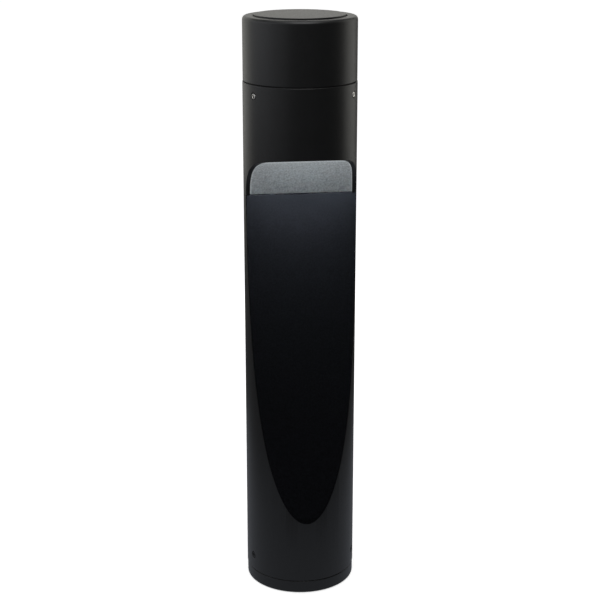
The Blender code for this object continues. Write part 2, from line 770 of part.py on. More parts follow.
def anchor_base():
    """The cast foot: a ring under the tube, a spigot inside it, and a floor with the anchor holes."""
    top = LOWER_SEAM_Z - GASKET_THICKNESS / 2 - GAP
    spigot_inside = SPIGOT_RADIUS - SPIGOT_WALL
    corner = (FOOT_RADIUS - FOOT_EDGE_RADIUS, FOOT_EDGE_RADIUS)
    profile = [
        (SPIGOT_RADIUS, FOOT_SPIGOT_Z),
        (SPIGOT_RADIUS, top),
        (FOOT_RADIUS - EDGE_CHAMFER, top),
        (FOOT_RADIUS, top - EDGE_CHAMFER),
        *arc(corner, FOOT_EDGE_RADIUS, 0, -math.pi / 2, 3),
        (ENTRY_RADIUS, 0),
        (ENTRY_RADIUS, FOOT_FLOOR),
        (spigot_inside, FOOT_FLOOR),
        (spigot_inside, FOOT_SPIGOT_Z),
    ]
    foot = turned("anchor_base", profile, BLACK_COAT)
    for number, azimuth in enumerate((45, 135, 225, 315), start=1):
        angle = math.radians(azimuth)
        at = (ANCHOR_CIRCLE_RADIUS * math.sin(angle), ANCHOR_CIRCLE_RADIUS * math.cos(angle))
        hole(foot, f"anchor_hole_{number}", ANCHOR_HOLE_RADIUS, -0.01, FOOT_FLOOR + 0.01, at)
    gasket_ring("base_gasket", LOWER_SEAM_Z, FOOT_RADIUS)
    return foot


def foot_fittings(foot):
    floor = FOOT_FLOOR + GAP
    flange_top = floor + GROMMET_THICKNESS
    flange = ENTRY_RADIUS + GROMMET_FLANGE
    sleeve = ENTRY_RADIUS - GAP
    sleeve_end = 0.002
    grommet = [
        (flange, flange_top),
        (flange, floor),
        (sleeve, floor),
        (sleeve, sleeve_end),
        (ENTRY_BORE, sleeve_end),
        (ENTRY_BORE, flange_top),
    ]
    turned("entry_grommet", grommet, RUBBER, sides=36)

    width, depth, height = TERMINAL_SIZE
    middle = floor + height / 2
    block = box("terminal_block", TERMINAL_SIZE, GREY_PLASTIC, location=(0, TERMINAL_Y, middle))
    for number in (-1, 0, 1):
        at = (number * width / 3, TERMINAL_Y - depth / 2, middle)
        mouth = {"location": at, "rotation": (math.pi / 2, 0, 0)}
        hole(block, f"wire_entry_{number + 2}", WIRE_ENTRY_RADIUS, -WIRE_ENTRY_DEPTH, 0.002, **mouth)

    lug_thickness = LUG_SIZE[2]
    lug = box("ground_lug", LUG_SIZE, COPPER, location=(GROUND_X, 0, floor + lug_thickness / 2))
    screw_x = GROUND_X - 0.004
    seat = floor + lug_thickness + GAP
    add("ground_screw", small_screw_mesh(M5, 0.009), ZINC, location=(screw_x, 0, seat))
    for piece in (lug, foot):
        hole(piece, f"{piece.name}_ground_hole", M5 + GAP, floor - 0.0085, floor + 0.01, (screw_x, 0))


# Wiring


def lead(name, route, radius, mat):
    """A round lead along a smooth curve through the route's points."""
    curve = bpy.data.curves.new(name, "CURVE")
    curve.dimensions = "3D"
    curve.bevel_depth = radius
    curve.bevel_resolution = 2
    curve.use_fill_caps = True
    points = smooth_route(route, 6 * radius)
    spline = curve.splines.new("POLY")
    spline.points.add(len(points) - 1)
    for point, place in zip(spline.points, points):
        point.co = (*place, 1)
    add(name, curve, mat)


def smooth_route(route, spacing):
    """Points of a Catmull-Rom curve through the route, about one spacing apart."""
    route = [Vector(point) for point in route]
    padded = [2 * route[0] - route[1], *route, 2 * route[-1] - route[-2]]
    points = []
    for a, b, c, d in zip(padded, padded[1:], padded[2:], padded[3:]):
        steps = max(2, round((c - b).length / spacing))
        for i in range(steps):
            t = i / steps
            cubic = 3 * b - a - 3 * c + d
            square = 2 * a - 5 * b + 4 * c - d
            points.append((2 * b + (c - a) * t + square * t**2 + cubic * t**3) / 2)
    return [*points, route[-1]]


def wiring():
    terminal_top = FOOT_FLOOR + GAP + TERMINAL_SIZE[2]
    driver_back = DRIVER_Y + DRIVER_SIZE[1] / 2
    supply = [
        (0, TERMINAL_Y, terminal_top + 2 * GAP),
        (0, TERMINAL_Y, 0.070),
        (0, 0.076, 0.130),
        (0, LEAD_WALL_Y, 0.200),
        *[(0, LEAD_WALL_Y, z) for z in (0.300, 0.450, 0.600, 0.780)],
        (0, 0.074, 0.845),
        (*SUPPLY_HOLE, 0.890),
        (0, 0.053, 0.912),
        (0, 0.042, 0.920),
        (0, driver_back + 0.006, 0.921),
        (0, driver_back + 2 * GAP, 0.921),
    ]
    lead("supply_lead", supply, SUPPLY_LEAD_RADIUS, RUBBER)
    driver_end = DRIVER_SIZE[0] / 2
    board_end = BOARD_SIZE[0] / 2
    y = ENGINE_DEPTH - TUBE_RADIUS
    board_y = y + BOARD_Z * math.sin(CEILING_SLOPE)
    board_z = ceiling_z(y) + BOARD_Z * math.cos(CEILING_SLOPE)
    output = [
        (driver_end + 2 * GAP, DRIVER_Y, 0.920),
        (driver_end + 0.004, DRIVER_Y, 0.920),
        (driver_end + 0.010, DRIVER_Y + 0.004, 0.917),
        (LED_HOLE[0], LED_HOLE[1], 0.906),
        (LED_HOLE[0], LED_HOLE[1], 0.890),
        (0.071, -0.006, 0.866),
        (0.069, -0.034, 0.842),
        (0.064, board_y, board_z + 0.001),
        (board_end + 0.004, board_y, board_z),
        (board_end + 2 * GAP, board_y, board_z),
    ]
    lead("led_lead", output, LED_LEAD_RADIUS, RUBBER)

    clip = box("cable_clip", CLIP_SIZE, GREY_PLASTIC, location=(0, LEAD_WALL_Y + 0.0014, CLIP_Z))
    bore = SUPPLY_LEAD_RADIUS + 2 * GAP
    hole(clip, "clip_bore", bore, CLIP_Z - 0.01, CLIP_Z + 0.01, (0, LEAD_WALL_Y))


# Assembly

tube = body_tube()
reflector_panel()
panel_rails()
lens_stack()
cap = head_cap()
socket_screws("cap", CAP_SCREW_AZIMUTHS, CAP_SCREW_Z, tube, cap, STEEL)
plate = gear_plate(cap)
driver(plate)
hangers(light_engine(), plate)
foot = anchor_base()
socket_screws("base", BASE_SCREW_AZIMUTHS, BASE_SCREW_Z, tube, foot, BLACK_STEEL)
foot_fittings(foot)
wiring()
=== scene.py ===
"""Looks of the bollard light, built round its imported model.

Metres, +Z up. The scoop faces -Y, and the origin is the centre of the foot's underside.
An azimuth is in degrees about Z from the front, positive towards +X.
"""

import json
import math

import bmesh
import bpy
from mathutils import Euler, Matrix, Vector


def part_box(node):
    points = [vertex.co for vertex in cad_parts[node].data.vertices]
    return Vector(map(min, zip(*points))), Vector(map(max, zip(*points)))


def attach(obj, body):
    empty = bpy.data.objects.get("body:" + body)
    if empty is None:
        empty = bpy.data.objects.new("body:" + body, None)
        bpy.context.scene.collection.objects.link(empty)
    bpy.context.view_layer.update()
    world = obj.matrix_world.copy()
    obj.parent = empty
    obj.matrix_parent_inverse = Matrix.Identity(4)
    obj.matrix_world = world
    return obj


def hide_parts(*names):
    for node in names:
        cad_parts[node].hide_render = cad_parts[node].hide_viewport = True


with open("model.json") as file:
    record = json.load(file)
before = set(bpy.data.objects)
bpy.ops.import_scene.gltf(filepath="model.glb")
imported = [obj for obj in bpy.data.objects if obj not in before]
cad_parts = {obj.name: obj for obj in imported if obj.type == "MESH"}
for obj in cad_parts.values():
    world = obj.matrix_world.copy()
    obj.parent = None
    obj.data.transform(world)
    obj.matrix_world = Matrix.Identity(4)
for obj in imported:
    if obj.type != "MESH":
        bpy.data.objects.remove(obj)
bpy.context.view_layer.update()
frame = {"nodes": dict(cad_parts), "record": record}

# Sizes read from the frame
GAP = 0.0003  # left between pieces that touch
TUBE_LOW, TUBE_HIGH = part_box("body_tube")
TUBE_RADIUS = TUBE_HIGH.x
TUBE_BOTTOM, TUBE_TOP = TUBE_LOW.z, TUBE_HIGH.z
FOLD_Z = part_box("reflector_panel")[1].z + GAP
CAP_RADIUS, _, CAP_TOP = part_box("head_cap")[1]
CAP_SKIRT_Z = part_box("head_cap")[0].z
DISC_RADIUS, _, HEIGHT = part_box("cap_disc")[1]
DISC_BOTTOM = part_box("cap_disc")[0].z
FOOT_RADIUS, _, FOOT_SPIGOT_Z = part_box("anchor_base")[1]
CAP_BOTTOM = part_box("cap_gasket")[1].z + GAP
FOOT_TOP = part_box("base_gasket")[0].z - GAP
CAP_SCREW_Z = sum(corner.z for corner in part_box("cap_screw_left")) / 2
BASE_SCREW_Z = sum(corner.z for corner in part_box("base_screw_left")) / 2

# Meshing
ROUND_SIDES = 256
HOLE_SIDES = 48
SCREW_SIDES = 64
FILLET_FACES = 5
EDGE_FACES = 3
WELD_DISTANCE = 0.00015
SOFTEN_ANGLE = math.radians(50)
SHARP_ANGLE = math.radians(40)
PRISM_WIDTH = 0.24
OUTSIDE = 0.03  # how far a cutter stands outside the tube
HOLE_OVERRUN = 0.004  # how far a hole's cutter runs past a wall

# Walls and edges
TUBE_WALL = 0.007
EDGE_CHAMFER = 0.001
CUT_EDGE = 0.0005
CASTING_EDGE = 0.0005
RING_EDGE = 0.0002
SPIGOT_RADIUS = 0.0942
SPIGOT_WALL = 0.006
CAP_WALL = 0.006
CAP_EDGE_RADIUS = 0.006
CAP_INNER_FILLET = 0.004
FOOT_EDGE_RADIUS = 0.004
FOOT_FLOOR = 0.012
FOOT_INNER_FILLET = 0.002
ENTRY_RADIUS = 0.030
ANCHOR_CIRCLE_RADIUS = 0.060
ANCHOR_HOLE_RADIUS = 0.007
DISC_GROOVE = 0.0015
DISC_GROOVE_FILLET = 0.0003
DISC_GROOVE_EDGE = 0.0004
DISC_SCREW_CIRCLE = 0.050
DISC_SCREW_RADIUS = 0.002
DISC_THREAD = 0.005

# Scoop, as seen from the side
CEILING_Z = 0.827  # at the front of the tube
CEILING_SLOPE = math.radians(12.5)
CEILING_FILLET = 0.065
SCOOP_DEPTH = 0.081
SCOOP_BACK_Y = SCOOP_DEPTH - TUBE_RADIUS
TIP_Z = 0.149
PANEL_BULGE = 0.016  # how far the panel's curve stands off its chord
PANEL_THICKNESS = 0.002
FILLET_STEPS = 24
PANEL_STEPS = 80
LENS_RECESS = 0.0008
LENS_THICKNESS = 0.004
LENS_RADIUS = 0.0936
LENS_EDGE = 0.0014

# Socket screws
SCREW_AZIMUTHS = {
    "cap": {"left": -60, "right": 60, "rear": 180},
    "base": {"left": -68, "right": 68, "rear": 180},
}
HEAD_RADIUS = 0.005
HEAD_HEIGHT = 0.004
SHANK_RADIUS = 0.003
SCREW_LENGTH = 0.018
HEAD_EDGE = 0.0007
UNDERHEAD_EDGE = 0.0002
POINT_EDGE = 0.0005
SOCKET_RADIUS = 0.0029
SOCKET_DEPTH = 0.0028
SOCKET_POINT = 0.0012
SOCKET_MOUTH = 0.0006  # how much wider the socket's bevelled mouth is
SOCKET_BEVEL = 0.0004
COUNTERBORE_RADIUS = 0.0064
COUNTERBORE_DEPTH = 0.0045
HOLE_RING = 0.0075  # from a screw to the tube's mesh rings above and below it

# Camera
CAMERA_AZIMUTH = math.radians(-7.5)
CAMERA_DISTANCE = 25 * TUBE_RADIUS
CAMERA_HEIGHT = 1.3208
CAMERA_PITCH = math.radians(16.948)
CAMERA_LENS = 86.5
CAMERA_SENSOR = 36.0
CAMERA_CLIP = (0.05, 100.0)

# Studio
LAMP_COLOR = (0.85, 0.94, 1.0)
FLOOR_COLOR = (0.82, 0.88, 1.0)
COOL = (0.93, 0.95, 1.0)
WARM = (1.0, 0.99, 0.93)
SOFTBOXES = {  # azimuth, distance, width, bottom, top, radiance, colour
    "left_front_softbox": (-46, 2.3, 1.1, 0.70, 2.6, 0.65, COOL),
    "left_softbox": (-88, 2.2, 2.2, 0.62, 2.6, 1.0, COOL),
    "left_back_softbox": (-143, 2.4, 2.0, 0.25, 2.6, 0.92, WARM),
    "right_softbox": (112, 2.2, 1.6, 0.25, 2.6, 1.0, WARM),
    "back_softbox": (172, 2.6, 2.2, 0.9, 2.6, 0.95, WARM),
}
OVERHEAD_HEIGHT = 3.2
OVERHEAD_SIZE = (2.5, 2.5)
OVERHEAD_RADIANCE = 0.9
HIGH_LIGHT_PLACE = (0, -1.6, 2.8)
HIGH_LIGHT_TARGET = (0, 0, 1.0)
HIGH_LIGHT_SIZE = (1.6, 1.2)
HIGH_LIGHT_RADIANCE = 4.2
GROUND_HEIGHT = 0.0002
GROUND_SIZE = (1.15, 1.6)
GROUND_RADIANCE = 0.30
LAMP_DEPTH = 0.044  # behind the front of the tube
LAMP_DROP = 0.004  # below the ceiling
HOOD_LIGHT_SIZE = (0.10, 0.036)
HOOD_LIGHT_RADIANCE = 3.0
PANEL_LIGHT_SIZE = (0.16, 0.036)
PANEL_LIGHT_RADIANCE = 285.0
ROOM_LIGHT = 0.06
BACKDROP_LIGHT = 1.0
FLOOR_REACH = 20.0
FLOOR_DROP = 0.0005
FLOOR_GLOW = (0.15, 1.6, 0.70, 0.985)  # distance from and to, then glow from and to


# Materials

NOISE_LOW, NOISE_HIGH = 0.3, 0.7


def add_node(material, kind, **settings):
    made = material.node_tree.nodes.new(kind)
    for name, value in settings.items():
        if name in made.inputs:
            made.inputs[name].default_value = value
        else:
            setattr(made, name, value)
    return made


def link(material, source, target):
    material.node_tree.links.new(source, target)


def noise(material, scale, detail=2.0, stretch=(1, 1, 1)):
    """Noise in the object's own space, drawn out along an axis whose stretch is small.

    Its useful range is NOISE_LOW..NOISE_HIGH.
    """
    where = add_node(material, "ShaderNodeTexCoord")
    mapping = add_node(material, "ShaderNodeMapping")
    mapping.inputs["Scale"].default_value = stretch
    made = add_node(material, "ShaderNodeTexNoise", Scale=scale, Detail=detail)
    link(material, where.outputs["Object"], mapping.inputs["Vector"])
    link(material, mapping.outputs["Vector"], made.inputs["Vector"])
    return made.outputs["Fac"]


def ramp_between(material, source, start, end, low, high):
    """The source's range start..end, mapped to low..high."""
    made = add_node(material, "ShaderNodeMapRange")
    made.inputs["From Min"].default_value = start
    made.inputs["From Max"].default_value = end
    made.inputs["To Min"].default_value = low
    made.inputs["To Max"].default_value = high
    link(material, source, made.inputs["Value"])
    return made.outputs["Result"]


def surface(name, color, roughness, metallic=0.0, mottle=0.12, mottle_scale=45.0, vary=0.05,
            grain_scale=900.0, grain_depth=0.00002, stretch=(1, 1, 1), specular=0.5):
    """A finish with mottled colour, uneven roughness and a fine grain."""
    material = bpy.data.materials.new(name)
    material.use_nodes = True
    shader = material.node_tree.nodes["Principled BSDF"]
    shader.inputs["Metallic"].default_value = metallic
    shader.inputs["Specular IOR Level"].default_value = specular

    patches = noise(material, mottle_scale, 4.0)
    ramp = add_node(material, "ShaderNodeValToRGB")
    factors = (1 - mottle, 1 + mottle)
    for element, at, factor in zip(ramp.color_ramp.elements, (NOISE_LOW, NOISE_HIGH), factors):
        element.position = at
        element.color = (*[min(1.0, factor * channel) for channel in color], 1.0)
    link(material, patches, ramp.inputs["Fac"])
    link(material, ramp.outputs["Color"], shader.inputs["Base Color"])

    grain = noise(material, grain_scale, 3.0, stretch)
    low, high = roughness - vary, roughness + vary
    rough = ramp_between(material, grain, NOISE_LOW, NOISE_HIGH, low, high)
    link(material, rough, shader.inputs["Roughness"])
    bump = add_node(material, "ShaderNodeBump", Strength=1.0, Distance=grain_depth)
    link(material, grain, bump.inputs["Height"])
    link(material, bump.outputs["Normal"], shader.inputs["Normal"])
    return material


# The lens's glow, which its base colour tints
LENS_GLOW = (0.15, 0.80)  # at the fold and at the ceiling
# Painted highlight along the lens's top edge and sides, drawn as extra glow
TOP_RIM_START, TOP_RIM_END = 0.014, 0.004  # below the ceiling
TOP_RIM_HIGHLIGHT = 0.9
SIDE_RIM_WIDTH = 0.0022
SIDE_RIM_HIGHLIGHT = 0.45
LENS_SCATTER = 0.2
LENS_SCATTER_DEPTH = 0.01


def lens_surface(name):
    """Frosted plastic that glows more towards the lamps above it, with a painted highlight drawn
    as extra glow along its rim.
    """
    material = surface(name, (0.27, 0.29, 0.30), 0.45, mottle=0.30, mottle_scale=330.0, vary=0.04,
                       grain_scale=900.0, grain_depth=0.00003)
    shader = material.node_tree.nodes["Principled BSDF"]
    tint = shader.inputs["Base Color"].links[0].from_socket
    link(material, tint, shader.inputs["Emission Color"])
    shader.inputs["Subsurface Weight"].default_value = LENS_SCATTER
    shader.inputs["Subsurface Scale"].default_value = LENS_SCATTER_DEPTH
    where = add_node(material, "ShaderNodeTexCoord").outputs["Object"]
    axes = add_node(material, "ShaderNodeSeparateXYZ")
    link(material, where, axes.inputs["Vector"])
    flat = add_node(material, "ShaderNodeVectorMath", operation="MULTIPLY")
    flat.inputs[1].default_value = (1, 1, 0)
    link(material, where, flat.inputs[0])
    radius = add_node(material, "ShaderNodeVectorMath", operation="LENGTH")
    link(material, flat.outputs["Vector"], radius.inputs[0])

    height = axes.outputs["Z"]
    body = ramp_between(material, height, FOLD_Z, CEILING_Z, *LENS_GLOW)
    # Painted highlight: extra glow along the top edge and the sides of the lens, added to the
    # lamp's glow
    start, end = CEILING_Z - TOP_RIM_START, CEILING_Z - TOP_RIM_END
    top = ramp_between(material, height, start, end, 0.0, TOP_RIM_HIGHLIGHT)
    distance = radius.outputs["Value"]
    start = LENS_RADIUS - SIDE_RIM_WIDTH
    side = ramp_between(material, distance, start, LENS_RADIUS, 0.0, SIDE_RIM_HIGHLIGHT)
    painted_rim_highlight = add_node(material, "ShaderNodeMath", operation="MAXIMUM")
    link(material, top, painted_rim_highlight.inputs[0])
    link(material, side, painted_rim_highlight.inputs[1])
    glow = add_node(material, "ShaderNodeMath", operation="ADD")
    link(material, body, glow.inputs[0])
    link(material, painted_rim_highlight.outputs["Value"], glow.inputs[1])
    link(material, glow.outputs["Value"], shader.inputs["Emission Strength"])
    return material


BRUSHED = (1, 1, 0.04)
MATERIALS = {
    "black_coat": surface("black_powder_coat", (0.0052, 0.0054, 0.0058), 0.42, vary=0.06,
                          grain_scale=650.0, grain_depth=0.00004),
    "panel_black": surface("panel_black_satin", (0.0030, 0.0031, 0.0038), 0.55, vary=0.03,
                           mottle=0.55, mottle_scale=330.0, grain_scale=900.0,
                           grain_depth=0.00003, specular=0.04),
    "frosted_lens": lens_surface("frosted_lens_plastic"),
    "stainless": surface("machined_stainless", (0.54, 0.53, 0.51), 0.22, 1.0, mottle=0.06,
                         vary=0.03, grain_scale=1600.0, grain_depth=0.000004),
    "black_steel": surface("black_oxide_steel", (0.020, 0.020, 0.021), 0.42, 0.6, mottle=0.25,
                           grain_scale=1400.0, grain_depth=0.00001),
    "zinc": surface("zinc_plated_steel", (0.42, 0.43, 0.44), 0.38, 1.0, mottle=0.10),
    "aluminium": surface("mill_aluminium", (0.60, 0.61, 0.62), 0.38, 1.0, mottle=0.06,
                         stretch=BRUSHED),
    "rubber": surface("black_rubber_matt", (0.010, 0.010, 0.010), 0.80, mottle=0.20),
    "silicone": surface("grey_silicone_sheet", (0.20, 0.21, 0.22), 0.70),
    "board": surface("white_solder_mask_board", (0.70, 0.71, 0.70), 0.48, mottle=0.03),
    "emitter": surface("phosphor_emitter", (0.80, 0.62, 0.16), 0.30, mottle=0.08),
    "grey_plastic": surface("grey_moulded_plastic", (0.18, 0.19, 0.20), 0.50),
    "white_plastic": surface("white_moulded_plastic", (0.62, 0.62, 0.60), 0.45, mottle=0.04),
    "copper": surface("tinned_copper_sheet", (0.52, 0.46, 0.40), 0.34, 1.0, mottle=0.12),
}


# Shapes


def new_piece(name, shape, material=None):
    """An object from a bmesh; without a material it is a cutter."""
    mesh = bpy.data.meshes.new(name)
    bmesh.ops.recalc_face_normals(shape, faces=shape.faces)
    shape.to_mesh(mesh)
    shape.free()
    obj = bpy.data.objects.new(name, mesh)
    bpy.context.scene.collection.objects.link(obj)
    if material:
        mesh.materials.append(material)
    return obj


def rounded(corners):
    """A profile of (radius, z, fillet) corners, with each fillet drawn as an arc."""
    profile = []
    for i, (radius, z, fillet) in enumerate(corners):
        corner = Vector((radius, z))
        if not fillet:
            profile.append(tuple(corner))
            continue
        before = (Vector(corners[i - 1][:2]) - corner).normalized()
        after = (Vector(corners[(i + 1) % len(corners)][:2]) - corner).normalized()
        half = before.angle(after) / 2
        center = corner + (before + after).normalized() * fillet / math.sin(half)
        start = corner + before * fillet / math.tan(half) - center
        end = corner + after * fillet / math.tan(half) - center
        turn = math.atan2(start.x * end.y - start.y * end.x, start.dot(end))
        for step in range(FILLET_FACES + 1):
            arm = Matrix.Rotation(turn * step / FILLET_FACES, 2) @ start
            profile.append(tuple(center + arm))
    return profile


def lathe(name, profile, material=None, sides=ROUND_SIDES, at=(0, 0)):
    """A profile of (radius, z) turned about Z. One that misses the axis is a closed ring."""
    shape = bmesh.new()
    line = [shape.verts.new((radius, 0, z)) for radius, z in profile]
    pairs = list(zip(line, line[1:]))
    if min(radius for radius, _ in profile) > 0:
        pairs.append((line[-1], line[0]))
    edges = [shape.edges.new(pair) for pair in pairs]
    bmesh.ops.spin(
        shape, geom=line + edges, cent=(0, 0, 0), axis=(0, 0, 1), angle=2 * math.pi, steps=sides,
        use_merge=True,
    )
    bmesh.ops.remove_doubles(shape, verts=shape.verts, dist=1e-6)
    bmesh.ops.translate(shape, verts=shape.verts, vec=(*at, 0))
    return new_piece(name, shape, material)


def prism(name, outline, material=None):
    """A side-view outline of (y, z) points, extruded along X."""
    shape = bmesh.new()
    face = shape.faces.new([shape.verts.new((-PRISM_WIDTH / 2, y, z)) for y, z in outline])
    made = bmesh.ops.extrude_face_region(shape, geom=[face])
    moved = [item for item in made["geom"] if isinstance(item, bmesh.types.BMVert)]
    bmesh.ops.translate(shape, verts=moved, vec=(PRISM_WIDTH, 0, 0))
    return new_piece(name, shape, material)


def post(name, radius, bottom, top, sides=ROUND_SIDES, at=(0, 0)):
    corners = [(0, top), (radius, top), (radius, bottom), (0, bottom)]
    return lathe(name, corners, sides=sides, at=at)


def post_circle(name, azimuths, circle, radius, bottom, top):
    """Cutters for a circle of upright holes."""
    for azimuth in azimuths:
        angle = math.radians(azimuth)
        at = (circle * math.sin(angle), -circle * math.cos(angle))
        yield post(f"{name}_{azimuth}", radius, bottom, top, HOLE_SIDES, at)


def apply_modifiers(obj):
    bpy.context.view_layer.update()
    evaluated = obj.evaluated_get(bpy.context.evaluated_depsgraph_get())
    mesh = bpy.data.meshes.new_from_object(evaluated)
    obj.modifiers.clear()
    obj.data = mesh


def cut(obj, *cutters, operation="DIFFERENCE"):
    for cutter in cutters:
        modifier = obj.modifiers.new(cutter.name, "BOOLEAN")
        modifier.operation = operation
        modifier.object = cutter
    apply_modifiers(obj)
    for cutter in cutters:
        bpy.data.objects.remove(cutter)


def soften(obj, width):
    """Rounds the edges that the cuts left sharp."""
    obj.modifiers.new("weld", "WELD").merge_threshold = WELD_DISTANCE
    bevel = obj.modifiers.new("edges", "BEVEL")
    bevel.width = width
    bevel.segments = EDGE_FACES
    bevel.limit_method = "ANGLE"
    bevel.angle_limit = SOFTEN_ANGLE
    bevel.use_clamp_overlap = False
    apply_modifiers(obj)


def finish_piece(obj, slot, *nodes):
    """Shades a finished piece and puts it in the place of its CAD nodes."""
    obj.data.shade_smooth()
    obj.data.set_sharp_from_angle(angle=SHARP_ANGLE)
    normals = obj.modifiers.new("normals", "WEIGHTED_NORMAL")
    normals.keep_sharp = True
    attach(obj, "root")
    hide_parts(*nodes)


def around(azimuth, radius, z):
    """The matrix that points local +Z straight out of the post."""
    angle = math.radians(azimuth)
    place = Matrix.Translation((radius * math.sin(angle), -radius * math.cos(angle), z))
    return place @ Euler((math.pi / 2, 0, angle)).to_matrix().to_4x4()


def arc(center, radius, start, end, steps):
    angles = [start + (end - start) * i / steps for i in range(steps + 1)]
    return [(center[0] + radius * math.cos(a), center[1] + radius * math.sin(a)) for a in angles]


# Scoop outlines in the side view, as (y, z). An offset is a distance behind the scoop's surface.


def ceiling_z(y, offset=0.0):
    depth = y + TUBE_RADIUS
    return CEILING_Z - depth * math.tan(CEILING_SLOPE) + offset / math.cos(CEILING_SLOPE)


def hood_line(offset, front_y, bottom_z):
    """From the front along the ceiling, round the fillet and down the lens to bottom_z."""
    center_y = SCOOP_BACK_Y - CEILING_FILLET
    center_z = ceiling_z(center_y) - CEILING_FILLET / math.cos(CEILING_SLOPE)
    start = math.pi / 2 - CEILING_SLOPE
    fillet = arc((center_y, center_z), CEILING_FILLET + offset, start, 0.0, FILLET_STEPS)
    return [(front_y, ceiling_z(front_y, offset)), *fillet, (SCOOP_BACK_Y + offset, bottom_z)]


def panel_line(offset, top_gap=0.0):
    """From the fold down past the tip, to outside the tube."""
    across_y = SCOOP_BACK_Y + TUBE_RADIUS
    up_z = FOLD_Z - TIP_Z
    chord = math.hypot(across_y, up_z)
    radius = (chord**2 / 4 + PANEL_BULGE**2) / (2 * PANEL_BULGE)
    reach = (radius - PANEL_BULGE) / chord
    center_y = (SCOOP_BACK_Y - TUBE_RADIUS) / 2 - up_z * reach
    center_z = (FOLD_Z + TIP_Z) / 2 + across_y * reach
    fold = math.atan2(FOLD_Z - center_z, SCOOP_BACK_Y - center_y)
    tip = math.atan2(TIP_Z - center_z, -TUBE_RADIUS - center_y)
    beyond = tip - (fold - tip) / 10
    return arc((center_y, center_z), radius + offset, fold - top_gap / radius, beyond, PANEL_STEPS)


# Pieces


def body_tube():
    """The post's tube, with the scoop and the six counterbored screw holes.

    Rings just above and below the holes keep their shading from running up the post.
    """
    rings = [z + side * HOLE_RING for z in (CAP_SCREW_Z, BASE_SCREW_Z) for side in (1, -1)]
    corners = [
        (TUBE_RADIUS, TUBE_TOP, EDGE_CHAMFER),
        *[(TUBE_RADIUS, z, 0) for z in rings],
        (TUBE_RADIUS, TUBE_BOTTOM, EDGE_CHAMFER),
        (TUBE_RADIUS - TUBE_WALL, TUBE_BOTTOM, 0),
        (TUBE_RADIUS - TUBE_WALL, TUBE_TOP, 0),
    ]
    tube = lathe("tube_shell", rounded(corners), MATERIALS["black_coat"])
    front = -TUBE_RADIUS - OUTSIDE
    seat = panel_line(PANEL_THICKNESS + GAP)
    scoop = prism("scoop", hood_line(0.0, front, FOLD_Z) + seat + [(front, seat[-1][1])])
    cut(tube, scoop, *wall_holes())
    soften(tube, CUT_EDGE)
    finish_piece(tube, "black_coat", "body_tube")


def wall_holes():
    profile = [
        (0, OUTSIDE),
        (COUNTERBORE_RADIUS, OUTSIDE),
        (COUNTERBORE_RADIUS, -COUNTERBORE_DEPTH),
        (SHANK_RADIUS + 2 * GAP, -COUNTERBORE_DEPTH),
        (SHANK_RADIUS + 2 * GAP, -TUBE_WALL - HOLE_OVERRUN),
        (0, -TUBE_WALL - HOLE_OVERRUN),
    ]
    for prefix, z in (("cap", CAP_SCREW_Z), ("base", BASE_SCREW_Z)):
        for side, azimuth in SCREW_AZIMUTHS[prefix].items():
            hole = lathe(f"{prefix}_{side}_hole", profile, sides=HOLE_SIDES)
            hole.data.transform(around(azimuth, TUBE_RADIUS, z))
            yield hole


def spigot_holes(prefix, z):
    """Cutters for the holes in a spigot's wall that its socket screws run through."""
    for side, azimuth in SCREW_AZIMUTHS[prefix].items():
        name = f"{prefix}_{side}_thread"
        hole = post(name, SHANK_RADIUS + GAP, -2 * SPIGOT_WALL, HOLE_OVERRUN, HOLE_SIDES)
        hole.data.transform(around(azimuth, SPIGOT_RADIUS, z))
        yield hole


def reflector_panel():
    near = panel_line(0.0, top_gap=GAP)
    far = panel_line(PANEL_THICKNESS, top_gap=GAP)
    panel = prism("reflector_sheet", near + far[::-1], MATERIALS["panel_black"])
    cut(panel, post("panel_trim", TUBE_RADIUS - GAP, 0.0, HEIGHT), operation="INTERSECT")
    soften(panel, CUT_EDGE)
    finish_piece(panel, "panel_black", "reflector_panel")
    return panel


def lens():
    front = -TUBE_RADIUS - OUTSIDE
    near = hood_line(LENS_RECESS, front, FOLD_Z + GAP)
    far = hood_line(LENS_RECESS + LENS_THICKNESS, front, FOLD_Z + GAP)
    sheet = prism("lens_diffuser", near + far[::-1], MATERIALS["frosted_lens"])
    trim = post("lens_trim", LENS_RADIUS, FOLD_Z - TUBE_RADIUS, CEILING_Z + TUBE_RADIUS)
    cut(sheet, trim, operation="INTERSECT")
    soften(sheet, LENS_EDGE)
    finish_piece(sheet, "frosted_lens", "lens")


